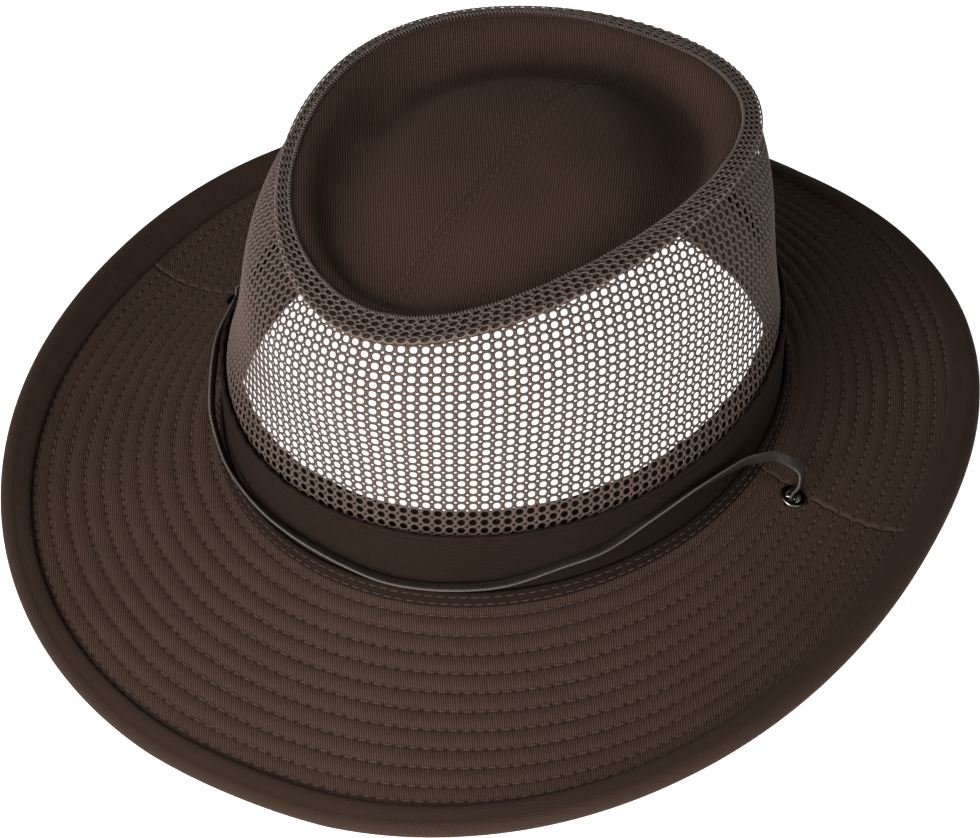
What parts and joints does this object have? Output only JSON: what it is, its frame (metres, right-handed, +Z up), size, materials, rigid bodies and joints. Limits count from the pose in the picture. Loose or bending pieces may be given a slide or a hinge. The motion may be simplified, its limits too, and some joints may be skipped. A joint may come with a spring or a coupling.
{
  "type": "safari hat",
  "caption": "Dark brown safari hat with a wide stitched cotton brim, a net crown wall, a dented cotton tip, a plain band and a thin leather chin lace.",
  "frame": {"origin": "the middle of the hat's outline, on the surface that the brim's hem rests on", "axes": "+Z up, the front of the brim towards -Y, the wearer's left side towards +X"},
  "size_m": [0.305, 0.3528, 0.1261],
  "materials": {
    "cotton_twill": "matt cotton twill, dark brown",
    "brown_net": "knitted polyester net, grey brown with a soft sheen",
    "dark_lining": "matt dark cloth",
    "lace_leather": "smooth dark leather with worn grey highlights",
    "eyelet_metal": "darkened brass, polished on the rolled edge"
  },
  "bodies": {
    "root": {"brim_front": "cotton_twill", "brim_back": "cotton_twill", "brim_binding": "cotton_twill", "foot_strip": "cotton_twill", "crown_band": "cotton_twill", "sweatband": "dark_lining", "crown_mesh": "brown_net", "crown_trim": "brown_net", "crown_tip_left": "cotton_twill", "crown_tip_right": "cotton_twill", "eyelet_left": "eyelet_metal", "eyelet_right": "eyelet_metal", "chin_cord_over": "lace_leather", "chin_cord_under": "lace_leather"}
  },
  "joints": []
}
